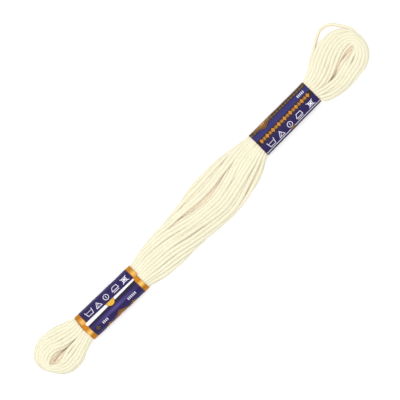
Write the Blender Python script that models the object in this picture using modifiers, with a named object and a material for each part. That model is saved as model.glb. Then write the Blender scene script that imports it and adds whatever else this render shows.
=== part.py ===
"""A hank of six-strand embroidery floss in two paper label bands, lying flat.

The thread is wound round and round into one long loop, so each band holds two legs side by side, and
each end of the hank is a bend round a narrow eye. X runs along the hank, towards the end that fans
out, +Y is the side of leg A, and the hank rests on Z = 0. The winding is one solid of seven thick
strands that stand for the turns of thread, each band is one lapped and glued strip of paper.
"""

import math
from collections import namedtuple

import bmesh
import bpy
import numpy as np

MM = 0.001

# Driving dimensions, in millimetres.
MIDDLE_X, MIDDLE_Y = -0.07, 0.30  # the tables' point that lies over the origin
FIT_GAP = 0.3  # clearance between the winding and the bands
BAND_THICKNESS = 1.0  # the paper, at the least thickness that a sheet is given here
LAP_STEP = 0.35  # how far the outer end of a strip stands above the end that it is glued on
LAP_WIDTH = 3.0  # the stretch of the strip, measured round the band, that rises to the step
BAND_SIDES = 44  # points round a band
BAND_RINGS = 5  # rings of points along a band
SEAM_SLANT = 0.01  # radians between the two points at a seam, so that its step is no zero-width face
CUTTER_REACH = 4.0  # how far outside a band its cutter goes
FLAT_SHARE = 0.06  # how much of a section's height is pressed flat where it lies
SIDE_FULLNESS = 2.3  # superellipse power of a section: 2 is an ellipse, more is boxier
WAIST_FILL = 0.70  # size of the strands' section inside a band, as a share of the open one
STRAND_SPACING = 1.1  # distance between points along a strand
STRAND_INSET = 3.0  # the first and last sections that set a strand out lie this far inside a band
BESIDE_BAND = 1.5  # and the next ones this far outside it
BELLY_SECTIONS = 9  # sections that set a strand out between the bands
PARTING, RIM = 0.10, 0.98  # how far out the strands lie in a leg, as shares of the half width
STRAND_FILL = 1.12  # how closely the strands fill a section: 1 leaves their sides just touching
SETTLE = 0.45  # how far the lowest strands are pressed flat on what the hank lies on
EYE_FLOOR = 1.35  # how far the underside strands of a bend close its eye: 1 is all the way
EYE_TIP = 1.5  # how far the underside strands draw back at the tip of an eye
SLIMMEST = 0.45  # the most that a strand's radius may be, as a share of its bundle's breadth
FURROW_EDGE = 0.6  # how far from a furrow's line the threads have moved most of the way aside
LOOSE_RADIUS = 0.70  # the one thread that stands away from the bend of the fan
VOXEL = 0.36  # grid on which the strands are joined into one skin
SKIN_TRIANGLES = 6400
SOFTENING = 2  # rounds of smoothing on that skin
FLOOR_SIDES = (200.0, 60.0, 10.0)  # the slab that cuts the underside flat

# Where the hank lies across: each row is a section, from the low to the high side along Y, with
# its height and how far its threads have rolled about X.
Section = namedtuple("Section", "x low high height roll")
SECTIONS = (
    Section(-57.6, -8.5, 1.3, 7.1, -22),
    Section(-32.3, -9.2, 0.7, 7.1, -33),
    Section(-27.0, -10.7, 1.8, 7.0, -30),
    Section(-20.0, -11.4, 2.5, 6.8, -22),
    Section(-10.0, -11.8, 3.3, 6.7, 0),
    Section(0.0, -12.0, 5.0, 6.6, 20),
    Section(7.0, -12.3, 5.3, 6.6, 23),
    Section(14.0, -11.1, 5.2, 6.8, 15),
    Section(20.0, -9.3, 4.6, 7.0, 6),
    Section(24.0, -7.4, 3.8, 7.1, 1),
    Section(26.6, -6.0, 3.2, 7.1, 0),
    Section(51.8, -5.8, 3.2, 7.1, 0),
)

# Furrows in the belly, where its threads have parted: the middle, the slope of the line, half the
# length, and how far the threads on top move aside.
Furrow = namedtuple("Furrow", "x y slope reach push")
FURROWS = (
    Furrow(2.0, -1.2, 0.03, 11.0, 0.9),
    Furrow(-15.0, -5.8, -0.33, 6.0, 0.5),
)

# The bends at the ends: each row is a section across the bundle, from the side of the eye to the
# outline, with its height. Both tables follow the thread as it runs round.
Bend = namedtuple("Bend", "eye_x eye_y out_x out_y height")
FAN_BEND = (
    Bend(56.2, -3.0, 56.4, 4.9, 6.6),
    Bend(61.0, -1.9, 61.5, 7.6, 6.0),
    Bend(66.0, 0.2, 66.5, 8.8, 5.6),
    Bend(70.0, 0.7, 71.6, 8.2, 5.8),
    Bend(72.1, 0.5, 75.3, 4.9, 6.4),
    Bend(72.9, -0.4, 76.8, 0.3, 6.8),
    Bend(72.1, -1.4, 75.3, -5.1, 6.7),
    Bend(69.5, -2.2, 71.4, -8.2, 6.4),
    Bend(65.5, -3.1, 66.0, -9.1, 6.3),
    Bend(61.0, -3.8, 60.6, -9.5, 6.4),
    Bend(56.6, -3.9, 56.2, -8.8, 6.6),
)
CLOSED_BEND = (
    Bend(-61.5, -4.3, -61.6, -9.2, 6.6),
    Bend(-66.0, -4.7, -66.4, -11.5, 6.4),
    Bend(-70.2, -5.3, -71.2, -11.6, 6.3),
    Bend(-72.8, -4.8, -74.9, -8.9, 6.6),
    Bend(-73.8, -4.0, -76.8, -3.3, 6.8),
    Bend(-73.0, -3.2, -75.6, 2.2, 6.7),
    Bend(-70.2, -2.6, -71.0, 4.7, 6.3),
    Bend(-66.0, -2.8, -66.0, 4.4, 6.2),
    Bend(-61.6, -3.5, -61.5, 3.0, 6.5),
)

# The strands of one leg: out is 0 at the parting between the legs and 1 at the outline, and up
# is -1 at the underside and 1 on top. The other leg holds the same strands on their way back.
Strand = namedtuple("Strand", "out up back_out back_up")
STRANDS = (
    Strand(0.06, 0.95, 0.12, 0.78),
    Strand(0.12, 0.08, 0.04, 0.02),
    Strand(0.10, -0.92, 0.16, -0.98),
    Strand(0.50, 0.78, 0.58, 0.95),
    Strand(0.46, -0.12, 0.50, 0.08),
    Strand(0.58, -0.96, 0.50, -0.80),
    Strand(0.97, 0.12, 0.98, -0.15),
)

# The loose outermost thread of the fan.
Point = namedtuple("Point", "x y z")
LOOSE_THREAD = (
    Point(54.0, 2.4, 3.6),
    Point(58.0, 5.0, 3.2),
    Point(62.0, 8.0, 2.2),
    Point(65.5, 10.4, 1.2),
    Point(69.0, 11.8, 0.8),
    Point(72.0, 11.0, 0.9),
    Point(74.4, 8.2, 1.7),
    Point(75.9, 4.8, 2.9),
    Point(75.6, 1.0, 3.8),
)

# A band covers the hank between two ends. The seam is where round the section its outer end
# stops: degrees from +Y over the top. The skew is how far the outer end slipped along X.
Band = namedtuple("Band", "name low_x high_x seam skew")
BANDS = (
    Band("band_lower", -57.6, -32.3, 91.0, 0.4),
    Band("band_upper", 26.6, 51.8, 152.0, 0.1),
)

FLOSS_COLOUR = (0.93, 0.89, 0.72)
PAPER_COLOUR = (0.045, 0.035, 0.17)


def clear_scene():
    for item in list(bpy.data.objects):
        bpy.data.objects.remove(item, do_unlink=True)


def collection_named(name):
    collection = bpy.data.collections.new(name)
    bpy.context.scene.collection.children.link(collection)
    return collection


def material_named(name, colour, roughness):
    material = bpy.data.materials.new(name)
    material.use_nodes = True
    shader = material.node_tree.nodes["Principled BSDF"]
    shader.inputs["Base Color"].default_value = (*colour, 1.0)
    shader.inputs["Roughness"].default_value = roughness
    shader.inputs["Metallic"].default_value = 0.0
    return material


def metres(x, y, z):
    """A point of the tables, in the part's own frame."""
    return (x - MIDDLE_X) * MM, (y - MIDDLE_Y) * MM, z * MM


def smooth(at, knots, values):
    """Values known at the knots, read anywhere between them on a cubic with their neighbours' slopes."""
    knots = np.asarray(knots, float)
    values = np.asarray(values, float)
    slopes = np.gradient(values, knots, axis=0)
    low = np.clip(np.searchsorted(knots, at) - 1, 0, len(knots) - 2)
    span = (knots[low + 1] - knots[low])[:, None]
    t = np.clip((at - knots[low])[:, None] / span, 0.0, 1.0)
    start = values[low] * (2 * t**3 - 3 * t**2 + 1) + slopes[low] * span * (t**3 - 2 * t**2 + t)
    end = values[low + 1] * (3 * t**2 - 2 * t**3) + slopes[low + 1] * span * (t**3 - t**2)
    return start + end


def section_at(x):
    """The section of the hank at x, between the outer ends of the bands. Inside a band it is straight."""
    knots = [row.x for row in SECTIONS]
    values = [row[1:] for row in SECTIONS]
    if in_band(x):
        row = [np.interp(x, knots, column) for column in zip(*values)]
    else:
        row = smooth(np.array([x]), knots, values)[0]
    return Section(x, *row)


def in_band(x):
    return any(band.low_x <= x <= band.high_x for band in BANDS)


def parted(x, y, share_up):
    """Y of a strand after the furrows have moved it aside. share_up is 0 underneath and 1 on top."""
    for furrow in FURROWS:
        along = (x - furrow.x) / furrow.reach
        aside = y - furrow.y - furrow.slope * (x - furrow.x)
        near = math.exp(-(along**2)) * share_up**2
        y += furrow.push * near * math.tanh(aside / FURROW_EDGE)
    return y


def leg_point(x, out, up, side):
    """A strand's place in a leg, and its radius: side is 1 for leg A and -1 for leg B."""
    section = section_at(x)
    fill = WAIST_FILL if in_band(x) else 1.0
    half_width = fill * (section.high - section.low) / 2
    half_height = fill * section.height / 2
    radius = STRAND_FILL * math.sqrt(half_width * half_height / (2 * len(STRANDS)))
    across = side * (PARTING + (RIM - PARTING) * out)
    above = up * math.sqrt(1 - across**2)
    roll = math.radians(section.roll)
    turned = across * math.cos(roll) - above * math.sin(roll)
    lifted = across * math.sin(roll) + above * math.cos(roll)
    share_up = (1 + lifted) / 2
    middle = (section.high + section.low) / 2
    y = parted(x, middle + (half_width - radius) * turned, share_up)
    z = section.height / 2 + (half_height - radius) * lifted - SETTLE * (1 - share_up)
    return x, y, z, radius


def eye_side(rows, index, up):
    """A strand's inner limit at one section of a bend: the lower it is, the more it shuts the eye."""
    here = rows[index]
    across = rows[len(rows) - 1 - index]
    shut = EYE_FLOOR * max(0.0, -up)
    x = here.eye_x + shut * (across.eye_x - here.eye_x) / 2
    y = here.eye_y + shut * (across.eye_y - here.eye_y) / 2
    if here is across:
        x -= math.copysign(shut * EYE_TIP, here.eye_x)
    return x, y


def bend_point(rows, index, out, up):
    """A strand's place at one section of a bend, and its radius."""
    row = rows[index]
    eye_x, eye_y = eye_side(rows, index, up)
    breadth = math.hypot(row.out_x - eye_x, row.out_y - eye_y)
    area = breadth * row.height
    radius = min(STRAND_FILL * math.sqrt(area / (math.pi * len(STRANDS))), SLIMMEST * breadth)
    share = (radius + out * (breadth - 2 * radius)) / breadth
    x = eye_x + share * (row.out_x - eye_x)
    y = eye_y + share * (row.out_y - eye_y)
    z = row.height / 2 + up * (row.height / 2 - radius) - SETTLE * (1 - up) / 2
    return x, y, z, radius


def leg_stations():
    """X of the sections that a strand is set out by: two inside each band and some between."""
    lower, upper = BANDS
    in_lower = [lower.low_x + STRAND_INSET, lower.high_x - STRAND_INSET]
    belly = np.linspace(lower.high_x + BESIDE_BAND, upper.low_x - BESIDE_BAND, BELLY_SECTIONS)
    in_upper = [upper.low_x + STRAND_INSET, upper.high_x - STRAND_INSET]
    return [*in_lower, *belly, *in_upper]


def bend_points(rows, start, end):
    """A strand round a bend. start and end are its (out, up) on the way in and on the way back."""
    points = []
    for i in range(len(rows)):
        share = i / (len(rows) - 1)
        out = start[0] + share * (end[0] - start[0])
        up = start[1] + share * (end[1] - start[1])
        points.append(bend_point(rows, i, out, up))
    return points


def strand_route(strand):
    """Points and radii round one closed strand, evenly spaced, in millimetres."""
    there = (strand.out, strand.up)
    back = (strand.back_out, strand.back_up)
    points = [leg_point(x, *there, 1) for x in leg_stations()]
    points += bend_points(FAN_BEND, there, back)
    points += [leg_point(x, *back, -1) for x in reversed(leg_stations())]
    points += bend_points(CLOSED_BEND, back, there)
    return respaced(np.array(points + points[:1]))[:-1]


def respaced(points):
    """The smooth curve through the points, read every STRAND_SPACING."""
    steps = np.linalg.norm(np.diff(points[:, :3], axis=0), axis=1)
    at = np.concatenate([[0.0], np.cumsum(steps)])
    count = int(at[-1] / STRAND_SPACING)
    return smooth(np.linspace(0.0, at[-1], count), at, points)


def add_tube(curve, route, closed):
    spline = curve.splines.new("POLY")
    spline.points.add(len(route) - 1)
    spline.use_cyclic_u = closed
    for point, (x, y, z, radius) in zip(spline.points, route):
        point.co = (*metres(x, y, z), 1.0)
        point.radius = radius


def strands_mesh():
    """All the strands as tubes that run into one another, as one mesh."""
    curve = bpy.data.curves.new("strands", "CURVE")
    curve.dimensions = "3D"
    curve.bevel_depth = MM
    curve.bevel_resolution = 3
    curve.use_fill_caps = True
    for strand in STRANDS:
        add_tube(curve, strand_route(strand), True)
    loose = respaced(np.array([(*point, LOOSE_RADIUS) for point in LOOSE_THREAD]))
    add_tube(curve, loose, False)
    return evaluated_mesh(curve_object(curve), "strands")


def curve_object(curve):
    item = bpy.data.objects.new(curve.name, curve)
    bpy.context.scene.collection.objects.link(item)
    return item


def evaluated_mesh(item, name):
    """The item's mesh with its modifiers applied, its caps welded, and the item itself removed."""
    bpy.context.view_layer.update()
    graph = bpy.context.evaluated_depsgraph_get()
    mesh = bpy.data.meshes.new_from_object(item.evaluated_get(graph))
    mesh.name = name
    bpy.data.objects.remove(item, do_unlink=True)
    work = bmesh.new()
    work.from_mesh(mesh)
    bmesh.ops.remove_doubles(work, verts=work.verts, dist=0.001 * MM)
    work.to_mesh(mesh)
    work.free()
    return mesh


def outer_skin(mesh):
    """Keeps the largest shell, so that the spaces shut in between strands are solid."""
    work = bmesh.new()
    work.from_mesh(mesh)
    left = set(work.verts)
    shells = []
    while left:
        shell = set()
        edge = [next(iter(left))]
        while edge:
            vert = edge.pop()
            if vert in shell:
                continue
            shell.add(vert)
            edge += [e.other_vert(vert) for e in vert.link_edges]
        left -= shell
        shells.append(shell)
    shells.sort(key=len)
    inner = [vert for shell in shells[:-1] for vert in shell]
    bmesh.ops.delete(work, geom=inner, context="VERTS")
    bmesh.ops.triangulate(work, faces=work.faces)
    work.to_mesh(mesh)
    work.free()


def section_ring(band, x, inset):
    """Points round a band at x, inset from its outline, as (y, z) in millimetres.

    The outline rises to the lap, and the ring has two points at the seam, one on each level.
    """
    section = section_at(x)
    half_width = (section.high - section.low) / 2
    half_height = section.height * (1 + FLAT_SHARE) / 2
    middle = (section.high + section.low) / 2
    centre = section.height - half_height
    floor = max(inset, 0.0)
    points = []
    for turn, on_top in ring_turns(band):
        behind = (math.radians(band.seam) - turn) * half_width
        rise = LAP_STEP * max(0.0, 1 - behind / LAP_WIDTH) if on_top and inset == 0.0 else 0.0
        y = middle + (half_width - inset + rise) * power(math.cos(turn))
        z = centre + (half_height - inset + rise) * power(math.sin(turn))
        points.append((y, max(z, floor)))
    return points


def ring_turns(band):
    """The angles of a ring's points, from +Y over the top, each with whether the lap is on top there."""
    seam = math.radians(band.seam)
    step = 2 * math.pi / BAND_SIDES
    turns = [i * step for i in range(BAND_SIDES) if abs(i * step - seam) > step / 3]
    before = [(turn, True) for turn in turns if turn < seam]
    after = [(turn, False) for turn in turns if turn > seam]
    return [*before, (seam, True), (seam + SEAM_SLANT, False), *after]


def power(value):
    return math.copysign(abs(value) ** (2 / SIDE_FULLNESS), value)


def band_rows(band, inset, skew, beyond=0.0):
    """Rings along a band, in metres. Round the strip they slip along X by the skew, up to the seam."""
    rows = []
    seam = math.radians(band.seam)
    for share in np.linspace(0.0, 1.0, BAND_RINGS):
        x = band.low_x + share * (band.high_x - band.low_x)
        ring = []
        for (turn, _), (y, z) in zip(ring_turns(band), section_ring(band, x, inset)):
            round_share = ((seam - turn) / (2 * math.pi)) % 1.0
            slip = skew * (0.5 - round_share)
            ring.append(metres(x + slip + beyond * (2 * share - 1), y, z))
        rows.append(ring)
    return rows


def band_mesh(band):
    """A lapped strip, as the solid between its outer skin and its inner skin."""
    outer = band_rows(band, 0.0, band.skew)
    inner = band_rows(band, BAND_THICKNESS, band.skew)
    return loft_between(outer, inner, band.name)


def loft_between(outer, inner, name):
    """A closed solid between two tubes of the same points: their sides and the rims at both ends."""
    work = bmesh.new()
    outer_rows = [[work.verts.new(point) for point in row] for row in outer]
    inner_rows = [[work.verts.new(point) for point in row] for row in inner]
    for rows in (outer_rows, inner_rows[::-1]):
        for first, second in zip(rows, rows[1:]):
            join_rings(work, first, second)
    join_rings(work, inner_rows[0], outer_rows[0])
    join_rings(work, outer_rows[-1], inner_rows[-1])
    bmesh.ops.recalc_face_normals(work, faces=work.faces)
    bmesh.ops.triangulate(work, faces=work.faces)
    mesh = bpy.data.meshes.new(name)
    work.to_mesh(mesh)
    work.free()
    return mesh


def join_rings(work, first, second):
    count = len(first)
    for i in range(count):
        after = (i + 1) % count
        work.faces.new((first[i], first[after], second[after], second[i]))


def ring_cutter(band, collection):
    """What a band and its clearance take from the winding: everything round the band's hole."""
    beyond = FIT_GAP + band.skew / 2
    hole = band_rows(band, BAND_THICKNESS + FIT_GAP, 0.0, beyond)
    around = band_rows(band, -CUTTER_REACH, 0.0, beyond)
    return cutter_object(loft_between(around, hole, "cutter_" + band.name), collection)


def floor_cutter(collection):
    """A slab whose top is the surface that the hank lies on."""
    mesh = bpy.data.meshes.new("cutter_floor")
    work = bmesh.new()
    bmesh.ops.create_cube(work, size=1.0)
    bmesh.ops.scale(work, vec=[side * MM for side in FLOOR_SIDES], verts=work.verts)
    bmesh.ops.translate(work, vec=(0, 0, -FLOOR_SIDES[2] * MM / 2), verts=work.verts)
    work.to_mesh(mesh)
    work.free()
    return cutter_object(mesh, collection)


def cutter_object(mesh, collection):
    item = bpy.data.objects.new(mesh.name, mesh)
    item.hide_render = True
    item.display_type = "WIRE"
    collection.objects.link(item)
    return item


def winding(collection, cutters):
    """The floss: the strands joined into one skin, thinned out, and cut to the table and the bands."""
    joined = bpy.data.objects.new("strands", strands_mesh())
    bpy.context.scene.collection.objects.link(joined)
    remesh = joined.modifiers.new("one_skin", "REMESH")
    remesh.mode = "VOXEL"
    remesh.voxel_size = VOXEL * MM
    soften = joined.modifiers.new("soften", "SMOOTH")
    soften.iterations = SOFTENING
    mesh = evaluated_mesh(joined, "floss_hank")
    outer_skin(mesh)
    item = bpy.data.objects.new("floss_hank", mesh)
    collection.objects.link(item)
    thin = item.modifiers.new("thin_out", "DECIMATE")
    thin.ratio = SKIN_TRIANGLES / len(mesh.polygons)
    for cutter in cutters:
        cut = item.modifiers.new(cutter.name, "BOOLEAN")
        cut.operation = "DIFFERENCE"
        cut.object = cutter
    return item


def main():
    clear_scene()
    parts = collection_named("floss_hank_with_bands")
    helpers = collection_named("cutters")
    floss = material_named("floss", FLOSS_COLOUR, 0.85)
    paper = material_named("printed_paper", PAPER_COLOUR, 0.45)

    cutters = [floor_cutter(helpers)] + [ring_cutter(band, helpers) for band in BANDS]
    hank = winding(parts, cutters)
    hank.data.materials.append(floss)
    for band in BANDS:
        strip = bpy.data.objects.new(band.name, band_mesh(band))
        strip.data.materials.append(paper)
        parts.objects.link(strip)


main()
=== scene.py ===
"""The looks of a hank of embroidery floss in two paper label bands.

The frame's winding is replaced by the thread itself: one thread of 26 turns that runs round the hank as
the winding's strands do, pushed apart until its turns lie beside one another, and twisted of six strands.
The frame's bands are replaced by thin lapped strips of printed paper. Tables and lengths are in millimetres,
in the coordinates of the tables that the winding was made from, up to where the studio is set up.
"""

import math
from collections import namedtuple
from itertools import product

import bpy
import numpy as np
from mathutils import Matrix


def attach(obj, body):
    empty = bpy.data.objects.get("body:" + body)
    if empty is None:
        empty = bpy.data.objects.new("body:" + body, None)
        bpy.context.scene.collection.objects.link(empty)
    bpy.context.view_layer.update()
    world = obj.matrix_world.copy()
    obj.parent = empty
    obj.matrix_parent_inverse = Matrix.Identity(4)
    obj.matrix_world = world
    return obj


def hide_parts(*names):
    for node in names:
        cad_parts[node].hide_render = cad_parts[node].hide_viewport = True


MM = 0.001
MIDDLE_X, MIDDLE_Y = -0.07, 0.30  # the tables' point that lies over the frame's origin
SEED = 10  # of the draws for the unevenness of the thread and the paper

# The thread, as it is laid.
TURNS = 26
SLOT_COLUMNS = 5  # columns in which a leg's turns lie
STAGGER = 0.25  # how far a slot lies to one side of its column's middle, as a share of the column
LEG_STATIONS = 15  # points that set a turn out in a leg
STATION_INSET = 3.0  # how far inside the bands' outer ends the first and the last of them lie
BACK_SCATTER = (0.03, 0.08)  # how far out and up a turn's way back strays from its way there
WANDER = (0.04, 0.08)  # how far out and up it strays on its way
POINT_SPACING = 1.2  # between the points that are pushed apart
FINEST, FULLEST = 0.46, 0.71  # radius of the thread where its turns are packed, and where they have room
LOOSE_RADIUS = 0.50
PACKING = 3.95  # area that a thread of radius 1 takes up among its neighbours
SECTION_SHARE = 0.84  # area of a section, as a share of its breadth times its height
LEG_MARGIN = 0.6  # how far past the bands the hank's outline still holds the thread
PRESS_ROUNDS = 220
PAIR_ROUNDS = 8  # rounds after which the pairs of neighbours are found anew
PAIR_REACH = 2.2  # how near neighbours are
LEVEL_REACH = 0.8  # how far along the thread they may lie from level, as a share of the points' spacing
PUSH = 0.24  # share of an overlap that is cleared in a round
HOLD = 0.02  # share of the way back to its own place that each point is drawn in a round

# The thread's surface.
PLUMPNESS = 1.20  # how far the thread's soft surface swells past the radius that keeps its turns apart
TWIST_PITCH = 3.8  # length in which the six strands go once round
STRANDS = 6
LOBE = ((-11.0, 1.0), (11.0, 1.0), (30.0, 0.83))  # a strand's points in the thread's section: degrees, share
VALLEY = 0.22  # share of a strand's width that lies in the valley on each side
PLY_PITCH = 0.75  # length in which a strand's own plies go once round
RING_SPACING = 0.32  # between rings of points where the thread shows
HIDDEN_SPACING = 1.3  # and inside a band
HIDDEN_INSET = 1.5  # how far inside a band's ends the thread no longer shows
THREAD_PIECES = 5
BAKE_ROWS = 19  # rows in which a piece's surface is laid out for baking
BAKE_MARGIN = 0.03  # share of a row that is left bare on each side

# Where the hank lies across: each row is a section, from the low to the high side along Y, with
# its height and how many degrees its threads have rolled about X.
Section = namedtuple("Section", "x low high height roll")
SECTIONS = (
    Section(-57.6, -8.5, 1.3, 7.1, -14),
    Section(-32.3, -9.2, 0.7, 7.1, -24),
    Section(-27.0, -10.7, 1.8, 7.0, -24),
    Section(-20.0, -11.4, 2.5, 6.8, -18),
    Section(-10.0, -11.8, 3.3, 6.7, 6),
    Section(0.0, -12.0, 5.0, 6.6, 29),
    Section(7.0, -12.3, 5.3, 6.6, 27),
    Section(14.0, -11.1, 5.2, 6.8, 17),
    Section(20.0, -9.3, 4.6, 7.0, 9),
    Section(24.0, -7.4, 3.8, 7.1, 6),
    Section(26.6, -6.0, 3.2, 7.1, 5),
    Section(51.8, -5.8, 3.2, 7.1, 0),
)
SIDE_FULLNESS = 2.3  # superellipse power of a section
FLAT_SHARE = 0.06  # how much of a section's height is pressed flat where it lies

# Furrows in the belly, where its threads have parted: the middle, the slope and the bend of the line, half
# the length, half the width, and the height of the threads that lie at the bottom.
Furrow = namedtuple("Furrow", "x y slope bend reach width floor")
FURROWS = (
    Furrow(1.0, -1.55, -0.010, 0.0150, 12.5, 0.85, 4.6),
    Furrow(-13.0, -6.2, -0.24, 0.0, 10.0, 0.20, 5.0),
)
FURROW_RISE = 0.8  # height over which a furrow opens to its full width
FURROW_GRIP = 0.2  # width from which a furrow takes full hold of the thread

# The bends at the ends: each row is a section across the bundle, from the side of the eye to the
# outline, with its height. Both tables follow the thread as it runs round.
Bend = namedtuple("Bend", "eye_x eye_y out_x out_y height")
FAN_BEND = (
    Bend(56.2, -3.4, 56.4, 4.9, 6.1),
    Bend(61.0, -2.2, 61.5, 7.6, 5.2),
    Bend(65.5, 0.1, 66.5, 8.8, 4.8),
    Bend(69.2, 0.7, 71.6, 8.2, 5.0),
    Bend(71.3, 0.4, 75.3, 4.9, 5.4),
    Bend(72.0, -0.4, 76.8, 0.3, 5.8),
    Bend(71.2, -1.3, 75.3, -5.1, 6.0),
    Bend(69.0, -1.7, 71.4, -8.2, 6.0),
    Bend(65.5, -2.1, 66.0, -9.1, 6.0),
    Bend(61.0, -3.2, 60.6, -9.2, 6.2),
    Bend(56.6, -2.8, 56.2, -8.4, 6.4),
)
CLOSED_BEND = (
    Bend(-61.5, -3.9, -61.6, -9.2, 6.2),
    Bend(-66.0, -4.2, -66.6, -11.3, 5.6),
    Bend(-70.2, -5.3, -71.2, -10.7, 5.4),
    Bend(-72.9, -5.0, -74.6, -7.8, 5.6),
    Bend(-74.0, -4.0, -76.9, -2.9, 5.8),
    Bend(-73.0, -3.0, -75.7, 2.3, 5.6),
    Bend(-70.2, -2.4, -71.0, 4.7, 5.3),
    Bend(-66.0, -3.7, -66.0, 4.4, 5.2),
    Bend(-61.6, -4.1, -61.5, 3.0, 5.9),
)
EYE_FLOOR = 3.2  # height of the threads that close an eye
EYE_RISE = 0.8  # height above them over which it opens to its full width
EYE_TIP = 1.0  # how far the lowest threads draw back at the tip of an eye, and over how many rows
EYE_TIP_ROWS = 1.4
BEND_SPREAD = (1.25, 1.13)  # how much further than in a leg the turns spread: on the eye's side, outside
BEND_BOXINESS = (0.45, 0.78)  # how full a bend is there: 1 is an ellipse, less is boxier
ROLL = 90.0  # how far the threads of a leg roll over in a bend: what was on top goes outside

# The outermost turn of the fan, where it stands away from the rest.
Point = namedtuple("Point", "x y z")
LOOSE_THREAD = (
    Point(54.0, 2.4, 3.6),
    Point(58.0, 4.9, 3.2),
    Point(62.0, 7.7, 2.2),
    Point(65.5, 10.0, 1.2),
    Point(68.8, 11.3, 0.8),
    Point(71.3, 10.7, 0.9),
    Point(73.1, 8.9, 1.5),
    Point(74.4, 6.6, 2.4),
    Point(75.5, 4.1, 3.2),
)
LOOSE_TURN = 22
LOOSE_REJOINS = 5  # the row of FAN_BEND at which it is back among the rest
SLACK = 60.0  # how freely it lies there: 1 holds it inside the outline
LEAST_SLACK = 1.5  # and the slack past which a point counts as loose

# The room that a point of the thread has: a section from its inner to its outer side, the place to
# which an eye closes at the bottom, the height, whether it is a bend's, and its slack.
Room = namedtuple("Room", "in_x in_y out_x out_y shut_x shut_y height bend slack")

# A band covers the hank between two ends. The seam is where round the section its outer end
# stops: degrees from +Y over the top. The skew is how far the outer end slipped along X.
Band = namedtuple("Band", "name low_x high_x seam skew")
BANDS = (
    Band("band_lower", -57.6, -32.3, 80.5, 0.55),
    Band("band_upper", 26.6, 51.8, 152.0, 0.1),
)
PAPER = 0.12  # thickness of the bands' paper
BAND_SLACK = 0.14  # between the thread, as it is pushed apart, and the paper round it
SURFACE_SLACK = 0.07  # between the thread's surface, once it is drawn, and the paper
FLARE = 1.0  # length past a band's end in which the thread spreads no more steeply than 45 degrees
LAP = 5.0  # how much of the strip lies under its outer end
LAP_RISE = 0.17  # how far the outer end stands above the end that it is glued on
LAP_RAMP = 1.5  # length over which the strip comes down past the lap
EDGE_RISE, EDGE_REACH = 0.12, 0.9  # how far the free edge curls up, and over what length
CRINKLES = ((0.035, (1.3, 1.5, 2.1, 2.7)), (0.05, (6.0, 8.0, 11.0)))  # height, and lengths of the waves
END_CRINKLE, END_WAVES = 0.06, (3.0, 4.5, 7.0)  # the same, for what the ends of a band have besides
END_REACH = 1.6  # length over which they have it
UNDERLAP = 1.3 * PAPER  # least height above the table of what lies under the outer end
STRIP_STEPS = 150  # points round a band
BAND_STEPS = 64  # points along a band

# The print.
LINE = 0.20  # width of the figures' lines
GOLD_LINE = 0.28  # and of the plain gold lines
BAR_PITCH, BAR_WIDTH = 0.62, 0.30  # of the short bars
FOIL_END = 1.7  # width of the gold foil at each end of the lower band
FOIL_BORDER = 1.95  # and of the foil with its duller border

# The cotton: its colour and the one that it varies to, then the painted shade in the valleys between its
# strands, the painted bounce light where another thread lies close by, and the painted warm shade deep in a
# hollow.
COTTON, DULLER_COTTON = (0.93, 0.915, 0.70), (0.90, 0.885, 0.655)
PAINTED_VALLEY_SHADE, PAINTED_BOUNCE_LIGHT, PAINTED_HOLLOW_SHADE = (0.87, 0.82, 0.56), (1.0, 0.95, 0.80), (1.0, 0.75, 0.59)
NEAR_REACH, FAR_REACH = 1.2, 8.0  # how far the surface looks for a thread close by, and for a hollow's sides

# The studio, in metres. The camera looks straight down.
LENS = 300.0  # millimetres
VIEW_WIDTH = 0.4 / 3  # across the picture, at the level where the hank is widest
VIEW_LEVEL = 3.6 * MM  # and that level
VIEW_CENTRE = (0.00007, -0.00075)
VIEW_TURN = -45.0  # degrees
FLOOR_SIZE, FLOOR_GREY, FLOOR_GLOW = 3.0, 0.95, 0.25
SKY_STRENGTH = 0.76
WINDOW_SIZE, WINDOW_POWER = 0.8, 3.0
WINDOW_PLACE, WINDOW_TILT = (-0.05, 0.12, 0.7), (-0.17, -0.07, 0.0)


def metres(points):
    """Points of the tables, in the frame's coordinates."""
    return (np.asarray(points, float) - (MIDDLE_X, MIDDLE_Y, 0.0)) * MM


def smooth(at, knots, values):
    """Values known at the knots, read anywhere between them on a cubic with their neighbours' slopes."""
    knots = np.asarray(knots, float)
    values = np.asarray(values, float)
    slopes = np.gradient(values, knots, axis=0)
    low = np.clip(np.searchsorted(knots, at) - 1, 0, len(knots) - 2)
    span = (knots[low + 1] - knots[low])[:, None]
    t = np.clip((at - knots[low])[:, None] / span, 0.0, 1.0)
    start = values[low] * (2 * t**3 - 3 * t**2 + 1) + slopes[low] * span * (t**3 - 2 * t**2 + t)
    end = values[low + 1] * (3 * t**2 - 2 * t**3) + slopes[low + 1] * span * (t**3 - t**2)
    return start + end


def in_band(x, margin=0.0):
    return np.any([(x >= band.low_x - margin) & (x <= band.high_x + margin) for band in BANDS], axis=0)


def sections_at(x):
    """Low, high, height and roll of the hank at each x. Inside a band they are straight between its ends."""
    knots = [row.x for row in SECTIONS]
    values = np.array([row[1:] for row in SECTIONS])
    curved = smooth(x, knots, values)
    straight = np.stack([np.interp(x, knots, column) for column in values.T], axis=1)
    return np.where(in_band(x)[:, None], straight, curved).T


def power(value, exponent):
    return np.sign(value) * np.abs(value) ** exponent


def ease(value):
    """From 0 to 1 as the value goes from 0 to 1, with level ends."""
    value = np.clip(value, 0.0, 1.0)
    return value * value * (3 - 2 * value)


def half_spread(share):
    """How far out in half an ellipse a share of its area lies, from 0 to 1."""
    out = np.linspace(0.0, 1.0, 101)
    area = (out * np.sqrt(1 - out**2) + np.arcsin(out)) * 2 / math.pi
    return np.interp(share, area, out)


def full_spread(share):
    """How far across an ellipse a share of its area lies, from -1 to 1."""
    return half_spread(np.abs(2 * share - 1)) * np.sign(2 * share - 1)


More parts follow.
